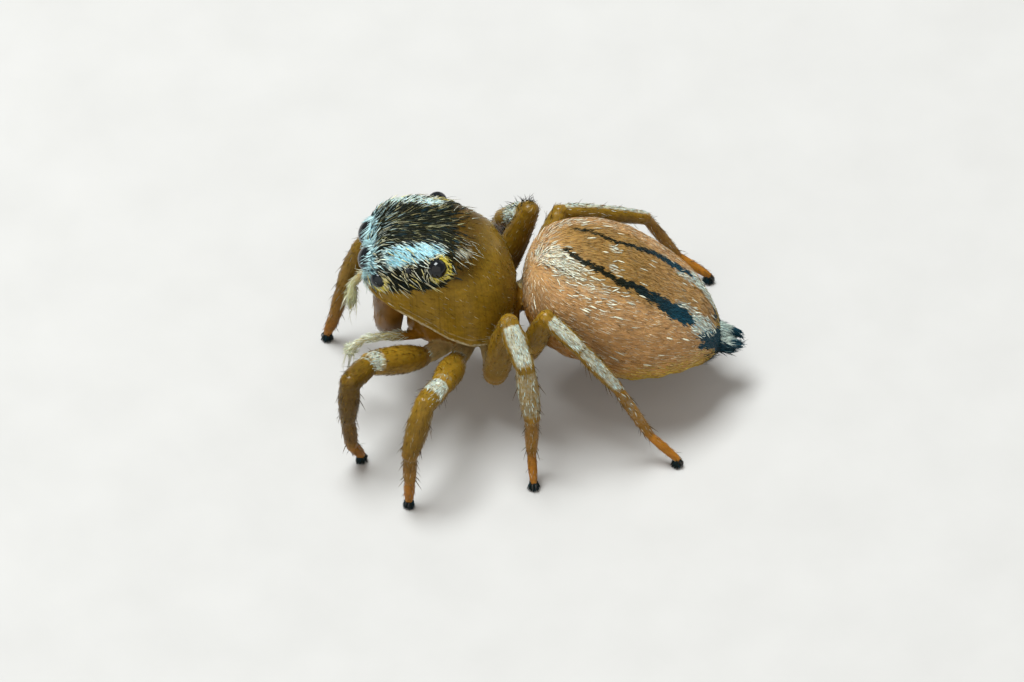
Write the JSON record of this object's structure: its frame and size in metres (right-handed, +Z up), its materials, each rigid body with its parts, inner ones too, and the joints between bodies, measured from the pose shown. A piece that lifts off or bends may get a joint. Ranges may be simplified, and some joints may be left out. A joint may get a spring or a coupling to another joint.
{
  "type": "peacock spider",
  "caption": "Life-size still model of a small brown jumping spider without a display fan, standing on eight bent legs with its head slightly raised and its tan, dark-lined abdomen hanging behind it.",
  "frame": {"origin": "on the floor, under the middle of the part's box", "axes": "+Z up; the head faces -Y; the spider's left side is +X"},
  "size_m": [0.0052, 0.0056, 0.0029],
  "materials": {
    "abdomen": "matte",
    "carapace": "satin",
    "eye": "gloss",
    "fang": "gloss",
    "leg": "satin",
    "palp": "satin",
    "spinneret": "satin",
    "tuft": "matte",
    "underside": "satin"
  },
  "bodies": {
    "root": {"abdomen": "abdomen", "cephalothorax": "carapace", "chelicera_l": "leg", "chelicera_r": "leg", "eye_front_middle_l": "eye", "eye_front_middle_r": "eye", "eye_front_side_l": "eye", "eye_front_side_r": "eye", "eye_rear_l": "eye", "eye_rear_r": "eye", "eye_small_l": "eye", "eye_small_r": "eye", "fang_l": "fang", "fang_r": "fang", "foot_1_l": "tuft", "foot_1_r": "tuft", "foot_2_l": "tuft", "foot_2_r": "tuft", "foot_3_l": "tuft", "foot_3_r": "tuft", "foot_4_l": "tuft", "foot_4_r": "tuft", "leg_1_l": "leg", "leg_1_r": "leg", "leg_2_l": "leg", "leg_2_r": "leg", "leg_3_l": "leg", "leg_3_r": "leg", "leg_4_l": "leg", "leg_4_r": "leg", "mouthparts": "underside", "palp_l": "palp", "palp_r": "palp", "pedicel": "underside", "spinnerets": "spinneret", "sternum": "underside"}
  },
  "joints": []
}
